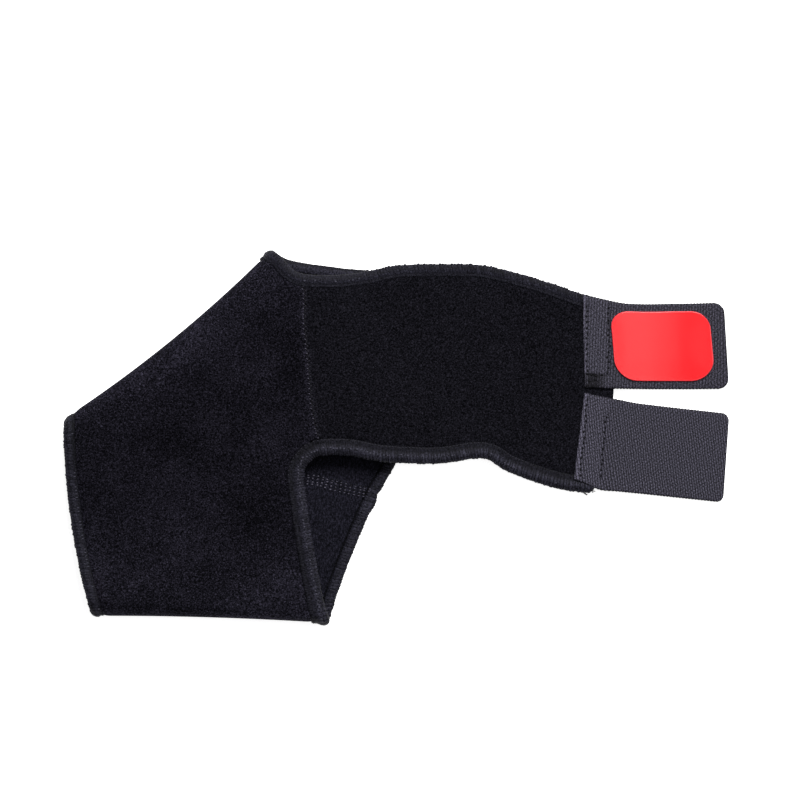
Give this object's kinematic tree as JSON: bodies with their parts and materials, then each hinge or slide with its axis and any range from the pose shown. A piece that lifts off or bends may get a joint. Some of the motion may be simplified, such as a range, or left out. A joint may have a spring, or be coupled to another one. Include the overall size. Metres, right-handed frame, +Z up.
{
  "type": "ankle compression sleeve",
  "caption": "Neoprene ankle sleeve lying flat: foot tube with open toe and heel, wide wrap band with hook tabs, overlocked edges.",
  "frame": {"origin": "on the floor, under the middle of the sleeve's bounding box as it lies", "axes": "+X from the toe opening towards the hook tabs, +Y from the sole fold towards the leg opening, +Z up"},
  "size_m": [0.3314, 0.187, 0.0166],
  "materials": {
    "neoprene_pile": "black looped pile on neoprene",
    "overlock_thread": "charcoal overlocked thread",
    "hook_tape": "dark blue-grey woven tape",
    "patch_rubber": "satin red, bare"
  },
  "bodies": {
    "root": {"foot_sleeve": "neoprene_pile", "ankle_band": "neoprene_pile", "toe_edging": "overlock_thread", "heel_edging": "overlock_thread", "leg_edging": "overlock_thread", "hook_tab_upper": "hook_tape", "hook_tab_lower": "hook_tape", "tab_patch": "patch_rubber"}
  },
  "joints": []
}
